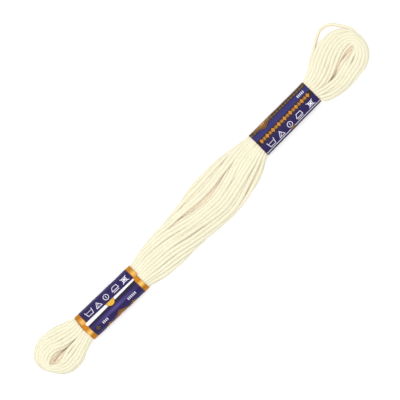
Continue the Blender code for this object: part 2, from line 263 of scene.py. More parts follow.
def turn_slots():
    """Each turn's place in a leg, (out, up), in an order in which it lies beside the turn before."""
    slots = []
    for column in range(SLOT_COLUMNS):
        count = TURNS // SLOT_COLUMNS
        if column == SLOT_COLUMNS - 1:
            count += TURNS % SLOT_COLUMNS
        levels = (np.arange(count) + 0.5) / count * 2 - 1
        if column % 2:
            levels = levels[::-1]
        for i, up in enumerate(levels):
            stagger = STAGGER / SLOT_COLUMNS * (-1) ** i
            slots.append(((column + 0.5) / SLOT_COLUMNS + stagger, up))
    return np.array(slots)


def rolled(out, up, degrees):
    """Places among the turns after they have rolled over as a bundle, so that the top ones lie outside."""
    angle = np.radians(degrees)
    across = 2 * out - 1
    size = np.maximum(np.abs(across), np.abs(up))
    new_across = across * np.cos(angle) + up * np.sin(angle)
    new_up = up * np.cos(angle) - across * np.sin(angle)
    size = size / np.maximum(np.maximum(np.abs(new_across), np.abs(new_up)), 1e-6)
    return (new_across * size + 1) / 2, new_up * size


def leg_room(x, side):
    """The room inside the hank's outline at each x, for points of leg A, side 1, or of leg B, side -1."""
    low, high, height, _ = sections_at(x)
    inner, outer = np.where(side > 0, low, high), np.where(side > 0, high, low)
    nothing = np.zeros_like(x)
    return Room(x, inner, x, outer, x, inner, height, nothing, nothing + 1)


def radius_in(room):
    """How thick the thread can be where it is, if its turns fill the room that they have."""
    breadth = np.hypot(room.out_x - room.in_x, room.out_y - room.in_y)
    closing = np.hypot(room.shut_x - room.in_x, room.shut_y - room.in_y) * room.bend
    area = SECTION_SHARE * breadth * room.height + closing * 2 * EYE_FLOOR
    passes = TURNS * (2 - room.bend)
    radius = np.clip(np.sqrt(area / passes / PACKING), FINEST, FULLEST)
    return np.where(room.slack > LEAST_SLACK, LOOSE_RADIUS, radius)


def leg_stretch(x, out, up, side):
    """Points of the thread in a leg and the room that each has: side is 1 for leg A and -1 for leg B."""
    low, high, height, roll = sections_at(x)
    room = leg_room(x, side)
    across = side * half_spread(out)
    above = up * (1 - np.abs(across) ** SIDE_FULLNESS) ** (1 / SIDE_FULLNESS)
    roll = np.radians(roll)
    turned = across * np.cos(roll) - above * np.sin(roll)
    lifted = across * np.sin(roll) + above * np.cos(roll)
    radius = radius_in(room)
    y = (high + low) / 2 + ((high - low) / 2 - radius) * turned
    z = height / 2 + (height / 2 - radius) * lifted
    return np.stack([x, y, z, *room], axis=1)


def bend_stretch(rows, out, up):
    """Points of the thread round a bend, one for each of its rows, and the room that each has."""
    rows = np.array(rows)
    eye, outside, height = rows[:, 0:2], rows[:, 2:4], rows[:, 4]
    shut = (eye + eye[::-1]) / 2
    from_tip = np.arange(len(rows)) - len(rows) // 2
    shut[:, 0] -= np.sign(eye[:, 0]) * EYE_TIP * np.exp(-((from_tip / EYE_TIP_ROWS) ** 2))
    full = np.ones(len(rows))
    room = Room(*eye.T, *outside.T, *shut.T, height, full, full)
    radius = radius_in(room)
    inner = out < 0.5
    spread, boxiness = np.where(inner, *BEND_SPREAD), np.where(inner, *BEND_BOXINESS)
    place = np.clip(spread * np.where(inner, 2 * out - 1, full_spread(out)), -1.0, 1.0)
    above = up * (1 - np.abs(boxiness * place) ** SIDE_FULLNESS) ** (1 / SIDE_FULLNESS)
    z = radius + (above + 1) / 2 * (height - 2 * radius)
    start = shut + ease((z - EYE_FLOOR) / EYE_RISE)[:, None] * (eye - shut)
    way = outside - start
    breadth = np.linalg.norm(way, axis=1)
    share = (radius + (place + 1) / 2 * (breadth - 2 * radius)) / breadth
    xy = start + share[:, None] * way
    return np.column_stack([xy, z, *room])


def wander(count, amount, generator):
    """Smooth noise for the thread's place across, one value for each point of its route."""
    rough = generator.normal(size=count + 8)
    kernel = np.hanning(7)
    return amount * np.convolve(rough, kernel / np.sqrt((kernel**2).sum()), "same")[4:-4]


def thread_route():
    """The thread's route through all its turns, a few millimetres a row: a point, and its room."""
    generator = np.random.default_rng(SEED)
    slots = turn_slots()
    stations = np.linspace(BANDS[0].low_x + STATION_INSET, BANDS[1].high_x - STATION_INSET, LEG_STATIONS)
    back = slots + generator.normal(scale=BACK_SCATTER, size=slots.shape)
    route = []

    def places(start, end, count, roll_from, roll_to):
        """Places among the turns on the way from one slot to another."""
        path = start + np.linspace(0.0, 1.0, count)[:, None] * (end - start)
        out = np.clip(path[:, 0] + wander(count, WANDER[0], generator), 0.02, 0.98)
        up = np.clip(path[:, 1] + wander(count, WANDER[1], generator), -0.97, 0.97)
        turn = roll_from + ease(np.linspace(0.0, 1.0, count)) * (roll_to - roll_from)
        return rolled(out, up, turn)

    for turn in range(TURNS):
        there, here = slots[turn], back[turn]
        after = slots[min(turn + 1, TURNS - 1)]
        route.append(leg_stretch(stations, *places(there, there, LEG_STATIONS, 0.0, 0.0), 1))
        fan = bend_stretch(FAN_BEND, *places(there, here, len(FAN_BEND), 0.0, ROLL))
        if turn == LOOSE_TURN:
            loose = fan[:1].repeat(len(LOOSE_THREAD), axis=0)
            loose[:, :3] = LOOSE_THREAD
            loose[:, -1] = SLACK
            fan = np.concatenate([loose, fan[LOOSE_REJOINS:]])
        route.append(fan)
        route.append(leg_stretch(stations[::-1], *places(here, here, LEG_STATIONS, ROLL, ROLL), -1))
        if turn < TURNS - 1:
            closed = places(here, after, len(CLOSED_BEND), ROLL, 0.0)
            route.append(bend_stretch(CLOSED_BEND, *closed))
    return np.concatenate(route)


def respaced(route, spacing):
    """The smooth curve through the route's points, read with their rooms at even spacing."""
    steps = np.linalg.norm(np.diff(route[:, :3], axis=0), axis=1)
    at = np.concatenate([[0.0], np.cumsum(steps)])
    return smooth(np.linspace(0.0, at[-1], int(at[-1] / spacing)), at, route)


def unit(vectors):
    return vectors / np.maximum(np.linalg.norm(vectors, axis=-1, keepdims=True), 1e-9)


def near_pairs(points, reach):
    """Pairs of points less than about reach apart, that aren't beside each other along the thread."""
    key_of = np.array([1, 1000, 1000000])
    key = np.floor(points / reach).astype(int) @ key_of
    order = np.argsort(key)
    ranked = key[order]
    firsts, seconds = [], []
    for offset in product((-1, 0, 1), repeat=3):
        wanted = key + np.array(offset) @ key_of
        low = np.searchsorted(ranked, wanted, "left")
        count = np.searchsorted(ranked, wanted, "right") - low
        first = np.repeat(np.arange(len(points)), count)
        place = np.arange(count.sum()) - np.repeat(np.cumsum(count) - count, count)
        second = order[np.repeat(low, count) + place]
        keep = second > first + 3
        firsts.append(first[keep])
        seconds.append(second[keep])
    first, second = np.concatenate(firsts), np.concatenate(seconds)
    near = np.linalg.norm(points[first] - points[second], axis=1) < reach
    return first[near], second[near]


def in_outline(x, y, z, room, radius):
    """Points drawn back inside the outline of their room."""
    banded = in_band(x, LEG_MARGIN)
    skin = PLUMPNESS * radius + np.where(banded, PAPER + BAND_SLACK, 0.0)
    span_x, span_y = room.out_x - room.in_x, room.out_y - room.in_y
    breadth = np.hypot(span_x, span_y)
    way_x, way_y = span_x / breadth, span_y / breadth
    half_height = room.height * (1 + np.where(banded, FLAT_SHARE, 0.0)) / 2
    middle = room.height - half_height
    place = (x - room.in_x) * way_x + (y - room.in_y) * way_y - breadth / 2
    held = np.where(place < 0, 1 - room.bend, 1.0)  # the side of a bend's eye is seen to by out_of_eye
    shape = np.abs(held * place / (breadth / 2 - skin)) ** SIDE_FULLNESS
    shape += np.abs((z - middle) / (half_height - skin)) ** SIDE_FULLNESS
    shrink = np.maximum(shape / room.slack, 1.0) ** (-1 / SIDE_FULLNESS)
    move = place * held * (shrink - 1)
    z = middle + (z - middle) * shrink
    return x + move * way_x, y + move * way_y, np.maximum(z, skin)


def out_of_eye(x, y, z, room, radius):
    """Points of a bend moved out of its eye, which closes towards the bottom."""
    way_x, way_y = room.out_x - room.in_x, room.out_y - room.in_y
    length = np.hypot(way_x, way_y)
    way_x, way_y = way_x / length, way_y / length
    opened = ease((z - EYE_FLOOR) / EYE_RISE)
    edge_x = room.shut_x + opened * (room.in_x - room.shut_x)
    edge_y = room.shut_y + opened * (room.in_y - room.shut_y)
    short = radius - (x - edge_x) * way_x - (y - edge_y) * way_y
    move = np.maximum(short, 0.0) * room.bend
    return x + move * way_x, y + move * way_y


def past_furrow(furrow, x, y):
    """Where each point is along a furrow, -1 to 1, and how far it lies past its line, towards +Y."""
    from_middle = x - furrow.x
    line = furrow.y + furrow.slope * from_middle + furrow.bend * from_middle**2
    return np.clip(from_middle / furrow.reach, -1.0, 1.0), y - line


def banks(x, y):
    """For each furrow, the side of it on which each pass of the thread lies: 1 or -1 for all its points."""
    sides = []
    for furrow in FURROWS:
        along, away = past_furrow(furrow, x, y)
        weight = 1 - along**2
        run = np.cumsum(np.diff(weight > 0, prepend=False))
        sides.append(np.where(np.bincount(run, weight * away)[run] < 0, -1.0, 1.0))
    return sides


def out_of_furrows(x, y, z, sides, radius):
    """How far across the points are once they leave the furrows open, each on its pass's side."""
    for furrow, side in zip(FURROWS, sides):
        along, away = past_furrow(furrow, x, y)
        width = furrow.width * (1 - along**2) * ease((z - furrow.floor) / FURROW_RISE)
        grip = ease(width / FURROW_GRIP)
        short = np.maximum(width + radius * grip - side * away, 0.0)
        y = y + side * short * grip
    return y


def held_in(points, room, sides, radius):
    """The points drawn back into the room that they have."""
    x, y, z = points.T
    y = out_of_furrows(x, y, z, sides, radius)
    x, y = out_of_eye(x, y, z, room, radius)
    return np.stack(in_outline(x, y, z, room, radius), axis=1)


def settled(route):
    """The thread with its turns pushed apart until they hardly overlap, and its radius."""
    target = route[:, :3]
    room = Room(*route[:, 3:].T)
    x = target[:, 0]
    in_leg = (x > BANDS[0].low_x - LEG_MARGIN) & (x < BANDS[1].high_x + LEG_MARGIN)
    in_leg &= room.slack < LEAST_SLACK
    side = np.sign(room.out_y - room.in_y)
    room = Room(*(np.where(in_leg, leg, own) for leg, own in zip(leg_room(x, side), room)))
    radius = eased(radius_in(room)[:, None], 6)[:, 0]
    sides = banks(x, target[:, 1])
    path = target.copy()
    rounds = PRESS_ROUNDS
    for step in range(rounds):
        if step % PAIR_ROUNDS == 0:
            first, second = near_pairs(path, PAIR_REACH)
        tangent = unit(np.gradient(path, axis=0))
        apart = path[second] - path[first]
        facing = np.sign((tangent[first] * tangent[second]).sum(axis=1, keepdims=True))
        mean = unit(tangent[first] + facing * tangent[second])
        along = (apart * mean).sum(axis=1, keepdims=True)
        across = apart - along * mean
        distance = np.linalg.norm(across, axis=1, keepdims=True)
        overlap = np.maximum((radius[first] + radius[second])[:, None] - distance, 0.0)
        level = np.abs(along) < LEVEL_REACH * POINT_SPACING
        push = overlap * across / np.maximum(distance, 0.05) * level
        move = np.stack(
            [
                np.bincount(second, push[:, k], len(path)) - np.bincount(first, push[:, k], len(path))
                for k in range(3)
            ],
            axis=1,
        )
        pushed = target + (1 - HOLD) * eased(path + PUSH * move - target, 2)
        path = held_in(pushed, room, sides, radius)
    path = target + eased(path - target, 6)
    return np.stack(in_outline(*path.T, room, radius), axis=1), radius


def eased(moves, rounds):
    """Moves along the thread, each brought nearer to those beside it."""
    for _ in range(rounds):
        new = moves.copy()
        new[1:-1] = 0.25 * moves[:-2] + 0.5 * moves[1:-1] + 0.25 * moves[2:]
        moves = new
    return moves


def ring_stations(path):
    """Places along the path for rings of points: close where the thread shows, far apart in a band."""
    steps = np.linalg.norm(np.diff(path, axis=0), axis=1)
    at = np.concatenate([[0.0], np.cumsum(steps)])
    fine = np.arange(0.0, at[-1], RING_SPACING)
    hidden = in_band(np.interp(fine, at, path[:, 0]), -HIDDEN_INSET)
    every = int(HIDDEN_SPACING / RING_SPACING)
    keep = ~hidden | (np.arange(len(fine)) % every == 0)
    return at, fine[keep]


def thread_rings(path, radius):
    """Points round the thread at each station. Where the stations lie far apart, its twist stands still."""
    at, stations = ring_stations(path)
    centre = smooth(stations, at, path)
    tangent = unit(np.gradient(centre, stations, axis=0))
    sideways = unit(np.cross(tangent, (0.0, 0.0, 1.0)))
    upwards = np.cross(sideways, tangent)
    degrees = np.array([60.0 * strand + turn for strand in range(STRANDS) for turn, _ in LOBE])
    share = np.array([size for _ in range(STRANDS) for _, size in LOBE])
    steps = np.diff(stations, prepend=0.0)
    phase = 2 * math.pi / TWIST_PITCH * np.cumsum(np.where(steps < 1.5 * RING_SPACING, steps, 0.0))
    angle = np.radians(degrees)[None, :] + phase[:, None]
    radius = PLUMPNESS * np.interp(stations, at, radius)[:, None] * share[None, :]
    offset = np.cos(angle)[..., None] * sideways[:, None, :] + np.sin(angle)[..., None] * upwards[:, None, :]
    return stations, inside_paper(centre[:, None, :] + radius[..., None] * offset)


def inside_paper(rings):
    """Points of the thread's surface, pressed in where they would come through the paper of a band."""
    x, y, z = rings.reshape(-1, 3).T
    past = np.min([np.maximum(band.low_x - x, x - band.high_x) for band in BANDS], axis=0)
    low, high, height, _ = sections_at(x)
    spare = np.maximum(past, 0.0) - PAPER - SURFACE_SLACK
    half_width = (high - low) / 2
    half_height = height * (1 + FLAT_SHARE) / 2
    across, above = y - (high + low) / 2, z - (height - half_height)
    shape = np.abs(across / (half_width + spare)) ** SIDE_FULLNESS
    shape += np.abs(above / (half_height + spare)) ** SIDE_FULLNESS
    less = np.where(past < FLARE, np.maximum(shape, 1.0) ** (-1 / SIDE_FULLNESS) - 1, 0.0)
    return np.stack([x, y + less * across, z + less * above], axis=1).reshape(rings.shape)


def ring_mesh(name, stations, rings):
    """A tube through rings of points, whose map for baking lays it out in rows."""
    count, around = rings.shape[:2]
    ring = np.arange(count - 1)[:, None] * around
    side = np.arange(around)[None, :]
    after = (side + 1) % around
    quads = np.stack([ring + side, ring + after, ring + around + after, ring + around + side], axis=-1)
    item = mesh_object(name, rings.reshape(-1, 3), quads.reshape(-1, 4))
    turn = np.stack([side, side + 1, side + 1, side], axis=-1) / around + 0.0 * ring[..., None]
    step = np.arange(count - 1)[:, None]
    length = stations[np.stack([step, step, step + 1, step + 1], axis=-1)] + 0.0 * turn
    add_uv(item.data, "thread", np.stack([turn, length], axis=-1).reshape(-1, 2))
    per_row = math.ceil((count - 1) / BAKE_ROWS)
    row = step // per_row
    u = ((step - row * per_row)[..., None] + np.array([0, 0, 1, 1])) / per_row + 0.0 * turn
    v = (row[..., None] + BAKE_MARGIN + (1 - 2 * BAKE_MARGIN) * turn) / BAKE_ROWS
    add_uv(item.data, "OFBake", np.stack([u, v], axis=-1).reshape(-1, 2))
    return item


def make_thread():
    """The thread, in pieces that follow one another along it."""
    path, radius = settled(respaced(thread_route(), POINT_SPACING))
    stations, rings = thread_rings(path, radius)
    cuts = np.linspace(0, len(rings) - 1, THREAD_PIECES + 1).astype(int)
    pieces = []
    for i in range(THREAD_PIECES):
        span = slice(cuts[i], cuts[i + 1] + 1)
        pieces.append(ring_mesh(f"floss_turns_{i + 1}", stations[span], rings[span]))
    return pieces


def strip_turns(band):
    """Angles round a band from its free edge, evenly along its strip, how far on each is, and the girth."""
    low, high, height, _ = sections_at(np.array([(band.low_x + band.high_x) / 2]))[:, 0]
    turns = math.radians(band.seam) - np.linspace(0.0, 3 * math.pi, 6000)
    y, z = ring_points(turns, low, high, height, 0.0)
    at = np.concatenate([[0.0], np.cumsum(np.hypot(np.diff(y), np.diff(z)))])
    girth = np.interp(2 * math.pi, turns[0] - turns, at)
    along = np.linspace(0.0, girth + LAP, STRIP_STEPS)
    return np.interp(along, at, turns), along, girth


def ring_points(turns, low, high, height, rise):
    """Points round a band's outline at the angles given, as arrays of y and z."""
    half_width = (high - low) / 2
    half_height = height * (1 + FLAT_SHARE) / 2
    y = (high + low) / 2 + (half_width + rise) * power(np.cos(turns), 2 / SIDE_FULLNESS)
    z = height - half_height + (half_height + rise) * power(np.sin(turns), 2 / SIDE_FULLNESS)
    return y, z


def crinkle(along, across, sizes, generator):
    """Smooth unevenness over a strip: a sum of waves about as long as the sizes, from -1 to 1 or so."""
    total = 0.0
    for size in sizes:
        heading, start = generator.uniform(0, 2 * math.pi, 2)
        wave = (along * math.cos(heading) + across * math.sin(heading)) * 2 * math.pi / size
        total = total + np.sin(wave + start)
    return total / len(sizes)


def strip_surface(band):
    """The outside and inside of a band's paper, as grids of points, their places on it, and the girth."""
    generator = np.random.default_rng(SEED + int(band.seam))
    turns, around, girth = strip_turns(band)
    along = np.linspace(0.0, band.high_x - band.low_x, BAND_STEPS)
    around, along = np.meshgrid(around, along, indexing="ij")
    turns = np.repeat(turns[:, None], BAND_STEPS, axis=1)
    slip = band.skew * (0.5 - np.where(around > girth, 1 - (around - girth) / LAP, around / girth))
    x = band.low_x + along + slip
    low, high, height, _ = sections_at(x.ravel())
    low, high, height = (values.reshape(x.shape) for values in (low, high, height))
    lapped = 1 - ease((around - LAP) / LAP_RAMP)
    rise = LAP_RISE * lapped + EDGE_RISE * (1 - ease(around / EDGE_REACH))
    for size, waves in CRINKLES:
        rise += size * crinkle(along, around, waves, generator)
    end = np.minimum(along, along[0, -1] - along)
    rise += END_CRINKLE * (1 - ease(end / END_REACH)) * (1 + crinkle(along, around, END_WAVES, generator))
    grids = []
    for depth in (0.0, PAPER):
        y, z = ring_points(turns, low, high, height, rise - depth)
        floor = np.where(around > girth, UNDERLAP, 0.0) + depth
        grids.append(np.stack([x, y, np.maximum(z, floor)], axis=-1))
    return grids, along, around, girth


def make_band(band, design):
    """A band as a strip of paper, printed outside and plain inside and at its edges, and its length."""
    (outside, inside), along, around, girth = strip_surface(band)
    rows, columns = along.shape
    index = np.arange(rows * columns).reshape(rows, columns)
    back = index + rows * columns
    faces = [strip_quads(index), strip_quads(back)[:, ::-1]]
    plain_from = len(faces[0])
    for front_edge, back_edge in (
        (index[0], back[0]),
        (back[-1], index[-1]),
        (back[:, 0], index[:, 0]),
        (index[:, -1], back[:, -1]),
    ):
        faces.append(strip_quads(np.stack([back_edge, front_edge])))
    faces = np.concatenate(faces)
    points = np.concatenate([outside.reshape(-1, 3), inside.reshape(-1, 3)])
    item = mesh_object(band.name.replace("band", "label"), points, faces)
    mesh = item.data
    mesh.materials.append(print_material(band.name + "_print", design, girth))
    mesh.materials.append(paper_material())
    kinds = np.ones(len(faces), np.int32)
    kinds[:plain_from] = 0
    mesh.polygons.foreach_set("material_index", kinds)
    place = np.tile(np.stack([along.ravel(), around.ravel()], axis=1), (2, 1))[faces.ravel()]
    add_uv(mesh, "print", place)
    share = place / (along.max(), around.max())
    printed = np.repeat(kinds == 0, 4)
    # The plain sides get a strip of their own in the map for baking, above the printed side.
    high = np.where(printed, 0.01 + 0.91 * share[:, 1], 0.94 + 0.05 * share[:, 1])
    add_uv(mesh, "OFBake", np.stack([0.01 + 0.98 * share[:, 0], high], axis=1))
    return item, girth + LAP


def strip_quads(index):
    """Quads between neighbouring rows of a grid of vertex numbers."""
    return np.stack([index[:-1, :-1], index[:-1, 1:], index[1:, 1:], index[1:, :-1]], axis=-1).reshape(-1, 4)


def mesh_object(name, points, faces):
    """An object whose mesh has these points, in the tables' millimetres, and these quads."""
    mesh = bpy.data.meshes.new(name)
    mesh.vertices.add(len(points))
    mesh.vertices.foreach_set("co", metres(points).ravel())
    mesh.loops.add(faces.size)
    mesh.loops.foreach_set("vertex_index", faces.ravel())
    mesh.polygons.add(len(faces))
    mesh.polygons.foreach_set("loop_start", np.arange(0, faces.size, 4))
    mesh.update(calc_edges=True)
    mesh.polygons.foreach_set("use_smooth", np.ones(len(faces), bool))
    item = bpy.data.objects.new(name, mesh)
    bpy.context.scene.collection.objects.link(item)
    return item


def add_uv(mesh, name, places):
    layer = mesh.uv_layers.new(name=name)
    layer.data.foreach_set("uv", np.asarray(places, float).ravel())


class Field:
    """A number that varies over a surface. What is done to it becomes Math nodes in a material."""

    def __init__(self, tree, socket):
        self.tree = tree
        self.socket = socket

    def math(self, operation, *others):
        node = self.tree.nodes.new("ShaderNodeMath")
        node.operation = operation
        for plug, value in zip(node.inputs, (self, *others)):
            if isinstance(value, Field):
                self.tree.links.new(value.socket, plug)
            else:
                plug.default_value = value
        return Field(self.tree, node.outputs["Value"])

    def __add__(self, other):
        return self.math("ADD", other)

    def __sub__(self, other):
        return self.math("SUBTRACT", other)

    def __mul__(self, other):
        return self.math("MULTIPLY", other)

    def size(self):
        return self.math("ABSOLUTE")

    def below(self, limit):
        return self.math("LESS_THAN", limit)

    def above(self, limit):
        return self.math("GREATER_THAN", limit)

    def between(self, low, high):
        return self.above(low) * self.below(high)

    def least(self, other):
        return self.math("MINIMUM", other)

    def most(self, other):
        return self.math("MAXIMUM", other)

    def repeated(self, period):
        """The distance from the nearest multiple of the period, with its sign."""
        return self.math("WRAP", period / 2, -period / 2)

    def clamped(self):
        return self.most(0.0).least(1.0)


def stroke(x, y, start, end, width):
    """1 on a straight line between two points, and 0 elsewhere."""
    run, climb = end[0] - start[0], end[1] - start[1]
    from_x, from_y = x - start[0], y - start[1]
    share = ((from_x * run + from_y * climb) * (1 / (run * run + climb * climb))).clamped()
    off_x, off_y = from_x - share * run, from_y - share * climb
    return (off_x * off_x + off_y * off_y).below((width / 2) ** 2)


def outline(x, y, corners, width):
    """1 on the line through the corners in turn."""
    lines = [stroke(x, y, a, b, width) for a, b in zip(corners, corners[1:])]
    shape = lines[0]
    for line in lines[1:]:
        shape = shape.most(line)
    return shape


# The plain figures printed in a row on each band, each about 2 mm high, by its lines. A figure that is
# alike on both sides is drawn with x made positive.
def tub(x, y):
    side = x.size()
    return outline(side, y, ((1.45, 0.95), (1.05, -0.9), (0.0, -0.9)), LINE).most(
        outline(side, y, ((1.1, 0.35), (0.0, 0.35)), 0.7 * LINE)
    )


def triangle(x, y):
    side = x.size()
    shape = outline(side, y, ((0.0, 0.95), (1.15, -0.9), (0.0, -0.9)), LINE)
    return shape.most(stroke(x, y, (-0.5, -0.75), (0.35, 0.4), 0.8 * LINE))


def ring(x, y):
    distance = (x * x + y * y).math("SQRT")
    shape = (distance - 0.95).size().below(LINE / 2)
    return shape.most(x.size().below(LINE / 2.5) * y.size().below(0.45))


def dome(x, y):
    shape = outline(x, y, ((-1.4, -0.35), (-0.6, 0.9), (1.2, 0.9), (1.4, -0.35), (-1.4, -0.35)), LINE)
    return shape.most((y + 0.9).size().below(LINE / 2) * x.size().below(1.2))


def crossed_square(x, y):
    side, level = x.size(), y.size()
    frame_line = (side.most(level) - 0.75).size().below(LINE / 2)
    cross = stroke(side, level, (0.0, 0.0), (1.25, 1.0), LINE)
    return frame_line.most(cross).most(side.most(level).below(0.42))


FIGURES = (tub, triangle, ring, dome, crossed_square)

Ink = namedtuple("Ink", "red green blue foil")
WHITE_INK = Ink(0.85, 0.83, 0.92, 0.0)
NAVY = Ink(0.020, 0.011, 0.085, 0.0)
DARK_NAVY = Ink(0.014, 0.006, 0.035, 0.0)
NEAR_BLACK = Ink(0.020, 0.008, 0.010, 0.0)
VIOLET_AND_PAINTED_HIGHLIGHT = Ink(0.030, 0.027, 0.150, 0.0)
PAINTED_SHEEN_LILAC = Ink(0.12, 0.09, 0.34, 0.0)
DEEP_GOLD = Ink(0.50, 0.185, 0.006, 0.5)
GOLD = Ink(0.66, 0.37, 0.040, 0.5)
# paler gold for the painted highlight on the foil
PAINTED_HIGHLIGHT_GOLD = Ink(0.98, 0.62, 0.17, 0.4)
ORANGE_GOLD = Ink(0.52, 0.21, 0.035, 0.3)
BROWN_GOLD = Ink(0.25, 0.12, 0.026, 0.3)
OLIVE = Ink(0.10, 0.07, 0.030, 0.2)
BARE_PAPER = Ink(0.90, 0.89, 0.90, 0.0)


class Print:
    """What is printed on a band, with the painted highlights and sheen among it, laid on layer by layer over
    bare paper.
    """

    def __init__(self, tree):
        self.tree = tree
        base = tree.nodes.new("ShaderNodeRGB")
        base.outputs[0].default_value = (*BARE_PAPER[:3], 1.0)
        self.colour = base.outputs[0]
        value = tree.nodes.new("ShaderNodeValue")
        value.outputs[0].default_value = BARE_PAPER.foil
        self.foil = Field(tree, value.outputs[0])

    def lay(self, where, ink):
        """Puts the ink where the field is 1."""
        self.colour = blended(self.tree, where, self.colour, ink[:3])
        self.foil = self.foil + where * (self.foil * -1.0 + ink.foil)


def figure_row(sheet, along, across, centres, middle):
    """The five figures side by side: middle is how far round the strip their centres lie."""
    for figure, centre in zip(FIGURES, centres):
        x, y = along - centre, across - middle
        sheet.lay(figure(x, y) * x.size().below(1.8) * y.size().below(1.3), WHITE_INK)


def lozenges(along, across, half_length, half_width, period=None):
    """1 in a lozenge, or in a chain of them along the strip."""
    x = along if period is None else along.repeated(period)
    return (x.size() * (1 / half_length) + across.size() * (1 / half_width)).below(1.0)


def small_bars(along, across, start, count, height):
    """A few short upright bars side by side."""
    spans = along.between(start, start + count * BAR_PITCH) * across.size().below(height / 2)
    return spans * (along - start - BAR_PITCH / 2).repeated(BAR_PITCH).size().below(BAR_WIDTH / 2)


def soft_line(across, half_width):
    """1 on a line, fading to 0 on both sides."""
    return (across.size() * (-1 / half_width) + 1.0).clamped()


def nested_lozenges(sheet, x, y, half_length, half_width):
    """Lozenges inside one another, gold and black in turn."""
    for share, ink in (
        (1.0, NEAR_BLACK),
        (0.93, BROWN_GOLD),
        (0.82, NEAR_BLACK),
        (0.74, BROWN_GOLD),
        (0.44, NEAR_BLACK),
        (0.34, ORANGE_GOLD),
    ):
        sheet.lay(lozenges(x, y, share * half_length, share * half_width), ink)


def printed_lower(sheet, along, around, girth):
    """The print of the band near the closed end, whose free edge lies along the top, with a painted sheen on
    its navy and a painted highlight on its gold foil.
    """
    length = BANDS[0].high_x - BANDS[0].low_x
    before = around * -1.0 + girth  # distance back from where the free edge lies on the strip
    margin = along * (-0.75 / length) + 1.30
    sheet.lay((before - margin).above(0.0), NAVY)
    sheet.lay(before.between(margin, 1.9), DARK_NAVY)
    # painted sheen: a soft lilac line along the band's ridge, lighter than the navy
    sheet.lay(soft_line(before - 2.9, 0.9) * soft_line(along - 12.9, 12.0) * 0.75, PAINTED_SHEEN_LILAC)
    sheet.lay(small_bars(along, before - 3.9, 6.0, 4, 0.9), WHITE_INK)
    sheet.lay(small_bars(along, before - 3.9, 17.4, 6, 0.9), WHITE_INK)
    sheet.lay(lozenges(along - 3.9, before - 4.0, 0.9, 0.9), OLIVE)
    for centre, size in ((7.6, 0.55), (18.2, 0.55), (12.9, 1.0)):
        nested_lozenges(sheet, along - centre, before - 6.9, 4.4 * size, 2.7 * size)
    for line in (11.2, 15.8):
        sheet.lay((around - line).size().below(GOLD_LINE / 2), BROWN_GOLD)
    sheet.lay(lozenges(along - 12.65, around - 13.5, 0.9, 1.0, 2.6) * along.between(3.4, 22.0), ORANGE_GOLD)
    figure_row(sheet, along, around, (4.9, 8.7, 12.4, 16.5, 20.8), 1.75)
    sheet.lay((around - 4.4).above(0.0) * (before - 9.0).above(0.0) * 0.5, DARK_NAVY)
    dot_x, dot_y = along - 12.85, before - 0.05
    dot = (dot_x * dot_x + dot_y * dot_y).math("SQRT")
    sheet.lay(dot.below(1.75), NEAR_BLACK)
    sheet.lay(dot.below(1.60), GOLD)
    end = along.least(along * -1.0 + length)
    sheet.lay(end.below(FOIL_BORDER) * before.above(1.0), BROWN_GOLD)
    sheet.lay(end.below(FOIL_END), DEEP_GOLD)
    # painted highlight: paler gold laid on the foil along two bands where light catches it
    painted_shine = (soft_line(around - 1.1, 2.0) * 0.6).most(soft_line(before - 3.2, 1.35))
    sheet.lay(end.below(FOIL_END) * painted_shine, PAINTED_HIGHLIGHT_GOLD)


def printed_upper(sheet, along, around, girth):
    """The print of the band near the fan, whose free edge lies low on the side of leg B; its violet strip
    carries a painted highlight too.
    """
    sheet.lay(around.above(-1.0), NAVY)
    depths = (1.45, 3.35, 5.3, 6.95, 8.25)
    frieze, strip, row, figures, hairline = (seen_at(BANDS[1], depth) for depth in depths)
    # the printed violet strip, its ink made lighter than the navy as a painted highlight where the band
    # curves over the top
    sheet.lay(around.between(row, frieze), VIOLET_AND_PAINTED_HIGHLIGHT)
    sheet.lay(around.between(row, strip), NEAR_BLACK)
    middle = around - (row + strip) / 2
    inside = along.between(1.2, 23.9)
    sheet.lay(lozenges(along - 1.6, middle, 0.72, 0.82, 2.7) * inside, ORANGE_GOLD)
    for offset, ink in ((2.55, BROWN_GOLD), (3.0, ORANGE_GOLD), (3.45, BROWN_GOLD)):
        sheet.lay(lozenges(along - offset, middle, 0.27, 0.74, 2.7) * inside, ink)
    sheet.lay(around.above(frieze), NEAR_BLACK)
    for offset, ink in ((0.0, OLIVE), (0.65, BROWN_GOLD)):
        chain = lozenges(along - offset, (around - frieze - 0.65).repeated(1.5), 0.40, 0.5, 1.3)
        sheet.lay(chain * around.above(frieze), ink)
    nested_lozenges(sheet, along - 5.8, around - frieze - 1.6, 4.6, 2.6)
    sheet.lay(around.above(frieze + 6.0), NAVY)
    for line in (frieze + 6.0, frieze + 10.0):
        sheet.lay((around - line).size().below(GOLD_LINE / 2), BROWN_GOLD)
    sheet.lay(small_bars(along, around - (frieze + strip) / 2, 20.2, 5, 0.9), WHITE_INK)
    figure_row(sheet, along, around, (3.7, 8.0, 12.3, 16.6, 22.0), figures)
    sheet.lay((around - hairline).size().below(0.1), WHITE_INK)
    sheet.lay(around.below(hairline - 0.12), DARK_NAVY)
    sheet.lay((around - hairline).size().below(0.35) * (along - 12.4).size().below(1.0), BROWN_GOLD)


def seen_at(band, depth):
    """How far round the strip lies what is seen from above at this depth in from the side of leg A."""
    low, high, height, _ = sections_at(np.array([(band.low_x + band.high_x) / 2]))[:, 0]
    turns, around, _ = strip_turns(band)
    top = (turns > 0) & (turns <= math.radians(band.seam))
    y, _ = ring_points(turns[top], low, high, height, 0.0)
    return float(np.interp(high - depth, y, around[top]))


